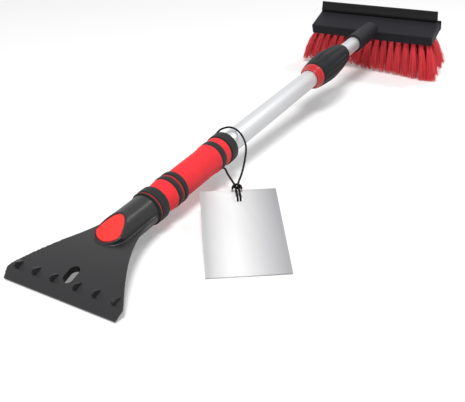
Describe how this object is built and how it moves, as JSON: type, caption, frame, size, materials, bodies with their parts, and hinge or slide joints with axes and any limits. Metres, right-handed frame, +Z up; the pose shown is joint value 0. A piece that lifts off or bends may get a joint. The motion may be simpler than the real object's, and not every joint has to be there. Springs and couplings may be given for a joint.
{
  "type": "snow broom",
  "caption": "Telescopic snow broom: ice scraper with foam grip, aluminium tubes held by a twist lock, and a bristle head with a squeegee blade.",
  "frame": {"origin": "on the floor, under the middle of the broom lying at rest, without its hang tag and cord", "axes": "+Y along the broom from the scraper to the brush head, +X across it to the right seen from the scraper, +Z up"},
  "size_m": [0.2492, 0.7146, 0.0954],
  "materials": {
    "black_plastic": "fine-grained moulded black",
    "red_plastic": "smooth moulded red",
    "white_plastic": "smooth moulded white",
    "red_foam": "closed-cell EVA foam, matt red",
    "black_foam": "closed-cell EVA foam, matt black",
    "tube_aluminium": "satin anodised silver",
    "screw_steel": "zinc plated",
    "blade_rubber": "matt black rubber",
    "red_bristle": "extruded polypropylene strands",
    "tag_card": "smooth coated card",
    "cord_black": "braided elastic cord"
  },
  "bodies": {
    "handle": {"scraper_head": "black_plastic", "neck_inlay": "red_plastic", "scraper_screw": "screw_steel", "grip_disc_black": "black_foam", "grip_disc_red": "red_foam", "grip_ring_lower": "black_foam", "grip_sleeve_lower": "red_foam", "grip_band_first": "black_foam", "grip_stripe_red": "red_foam", "grip_band_second": "black_foam", "grip_sleeve_main": "red_foam", "grip_band_third": "black_foam", "grip_sleeve_upper": "red_foam", "grip_ring_end": "black_foam", "outer_tube": "tube_aluminium", "collet_base": "red_plastic", "hang_tag": "tag_card", "tag_knot": "cord_black", "tag_cord": "cord_black"},
    "glide": {"glide_bush": "white_plastic"},
    "head": {"inner_tube": "tube_aluminium", "brush_block": "black_plastic", "socket_screw": "screw_steel", "squeegee_holder": "black_plastic", "squeegee_blade": "blade_rubber", "bristle_row_1": "red_bristle", "bristle_row_2": "red_bristle", "bristle_row_3": "red_bristle", "bristle_row_4": "red_bristle"},
    "lock": {"twist_lock_sleeve": "black_plastic"}
  },
  "joints": [
    {"name": "tube_slide", "type": "slide", "parent": "handle", "child": "glide", "axis": [0, 0.9969, 0.0786], "range_m": [0, 0.3]},
    {"name": "head_swivel", "type": "hinge", "parent": "glide", "child": "head", "pos_m": [0, 0, 0.0432], "axis": [0, 0.9969, 0.0786], "range_deg": [-180, 180]},
    {"name": "lock_twist", "type": "hinge", "parent": "handle", "child": "lock", "pos_m": [0, 0, 0.0432], "axis": [0, 0.9969, 0.0786], "range_deg": [0, 90]}
  ]
}
